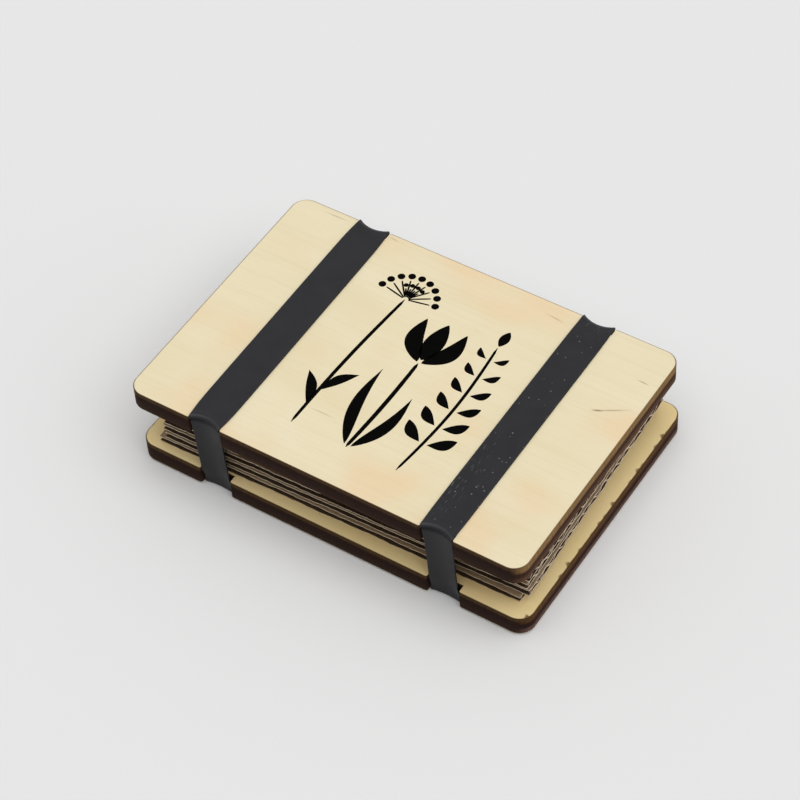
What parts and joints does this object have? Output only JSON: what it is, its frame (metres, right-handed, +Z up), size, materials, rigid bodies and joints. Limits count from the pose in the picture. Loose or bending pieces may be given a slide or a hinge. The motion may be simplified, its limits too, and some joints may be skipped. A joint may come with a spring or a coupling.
{
  "type": "flower press",
  "caption": "Pocket flower press: plywood boards squeeze a stack of corrugated cards and blotting papers, held shut by wide rubber bands.",
  "frame": {"origin": "under the middle of the press, on the surface that the bands' undersides rest on", "axes": "+X along the long side, +Y across it to the back, +Z up"},
  "size_m": [0.1474, 0.1, 0.0332],
  "materials": {
    "birch_plywood": "sanded birch veneer with laser-scorched edges",
    "corrugated_card": "matt kraft board with open flutes",
    "blotting_paper": "matt absorbent paper",
    "band_rubber": "matt black rubber with a little dust"
  },
  "bodies": {
    "base": {"base_board": "birch_plywood", "left_band_lower_half": "band_rubber", "right_band_lower_half": "band_rubber"},
    "corrugated_card_1": {"corrugated_card_1": "corrugated_card"},
    "blotting_paper_1a": {"blotting_paper_1a": "blotting_paper"},
    "blotting_paper_1b": {"blotting_paper_1b": "blotting_paper"},
    "corrugated_card_2": {"corrugated_card_2": "corrugated_card"},
    "blotting_paper_2a": {"blotting_paper_2a": "blotting_paper"},
    "blotting_paper_2b": {"blotting_paper_2b": "blotting_paper"},
    "corrugated_card_3": {"corrugated_card_3": "corrugated_card"},
    "blotting_paper_3a": {"blotting_paper_3a": "blotting_paper"},
    "blotting_paper_3b": {"blotting_paper_3b": "blotting_paper"},
    "corrugated_card_4": {"corrugated_card_4": "corrugated_card"},
    "blotting_paper_4a": {"blotting_paper_4a": "blotting_paper"},
    "blotting_paper_4b": {"blotting_paper_4b": "blotting_paper"},
    "corrugated_card_5": {"corrugated_card_5": "corrugated_card"},
    "top_board": {"top_board": "birch_plywood"},
    "left_band_top": {"left_band_upper_half": "band_rubber"},
    "right_band_top": {"right_band_upper_half": "band_rubber"}
  },
  "joints": [
    {"name": "lift", "type": "slide", "parent": "base", "child": "top_board", "axis": [0, 0, 1], "range_m": [0, 0.016], "stiffness_N_per_m": 800, "springref_m": -0.02},
    {"name": "corrugated_card_1_lift", "type": "slide", "parent": "base", "child": "corrugated_card_1", "axis": [0, 0, 1], "range_m": [0, 0.0005]},
    {"name": "blotting_paper_1a_lift", "type": "slide", "parent": "base", "child": "blotting_paper_1a", "axis": [0, 0, 1], "range_m": [0, 0.0009]},
    {"name": "blotting_paper_1b_lift", "type": "slide", "parent": "base", "child": "blotting_paper_1b", "axis": [0, 0, 1], "range_m": [0, 0.0039]},
    {"name": "corrugated_card_2_lift", "type": "slide", "parent": "base", "child": "corrugated_card_2", "axis": [0, 0, 1], "range_m": [0, 0.0043]},
    {"name": "blotting_paper_2a_lift", "type": "slide", "parent": "base", "child": "blotting_paper_2a", "axis": [0, 0, 1], "range_m": [0, 0.0047]},
    {"name": "blotting_paper_2b_lift", "type": "slide", "parent": "base", "child": "blotting_paper_2b", "axis": [0, 0, 1], "range_m": [0, 0.0077]},
    {"name": "corrugated_card_3_lift", "type": "slide", "parent": "base", "child": "corrugated_card_3", "axis": [0, 0, 1], "range_m": [0, 0.0081]},
    {"name": "blotting_paper_3a_lift", "type": "slide", "parent": "base", "child": "blotting_paper_3a", "axis": [0, 0, 1], "range_m": [0, 0.0085]},
    {"name": "blotting_paper_3b_lift", "type": "slide", "parent": "base", "child": "blotting_paper_3b", "axis": [0, 0, 1], "range_m": [0, 0.0115]},
    {"name": "corrugated_card_4_lift", "type": "slide", "parent": "base", "child": "corrugated_card_4", "axis": [0, 0, 1], "range_m": [0, 0.0119]},
    {"name": "blotting_paper_4a_lift", "type": "slide", "parent": "base", "child": "blotting_paper_4a", "axis": [0, 0, 1], "range_m": [0, 0.0123]},
    {"name": "blotting_paper_4b_lift", "type": "slide", "parent": "base", "child": "blotting_paper_4b", "axis": [0, 0, 1], "range_m": [0, 0.0153]},
    {"name": "corrugated_card_5_lift", "type": "slide", "parent": "base", "child": "corrugated_card_5", "axis": [0, 0, 1], "range_m": [0, 0.0157]},
    {"name": "left_band_stretch", "type": "slide", "parent": "base", "child": "left_band_top", "axis": [0, 0, 1], "range_m": [0, 0.0161]},
    {"name": "right_band_stretch", "type": "slide", "parent": "base", "child": "right_band_top", "axis": [0, 0, 1], "range_m": [0, 0.0161]}
  ],
  "couplings": [
    {"joint": "corrugated_card_1_lift", "follows": "lift", "ratio": 0.025},
    {"joint": "blotting_paper_1a_lift", "follows": "lift", "ratio": 0.05},
    {"joint": "blotting_paper_1b_lift", "follows": "lift", "ratio": 0.2375},
    {"joint": "corrugated_card_2_lift", "follows": "lift", "ratio": 0.2625},
    {"joint": "blotting_paper_2a_lift", "follows": "lift", "ratio": 0.2875},
    {"joint": "blotting_paper_2b_lift", "follows": "lift", "ratio": 0.475},
    {"joint": "corrugated_card_3_lift", "follows": "lift", "ratio": 0.5},
    {"joint": "blotting_paper_3a_lift", "follows": "lift", "ratio": 0.525},
    {"joint": "blotting_paper_3b_lift", "follows": "lift", "ratio": 0.7125},
    {"joint": "corrugated_card_4_lift", "follows": "lift", "ratio": 0.7375},
    {"joint": "blotting_paper_4a_lift", "follows": "lift", "ratio": 0.7625},
    {"joint": "blotting_paper_4b_lift", "follows": "lift", "ratio": 0.95},
    {"joint": "corrugated_card_5_lift", "follows": "lift", "ratio": 0.975},
    {"joint": "left_band_stretch", "follows": "lift", "ratio": 1},
    {"joint": "right_band_stretch", "follows": "lift", "ratio": 1}
  ]
}
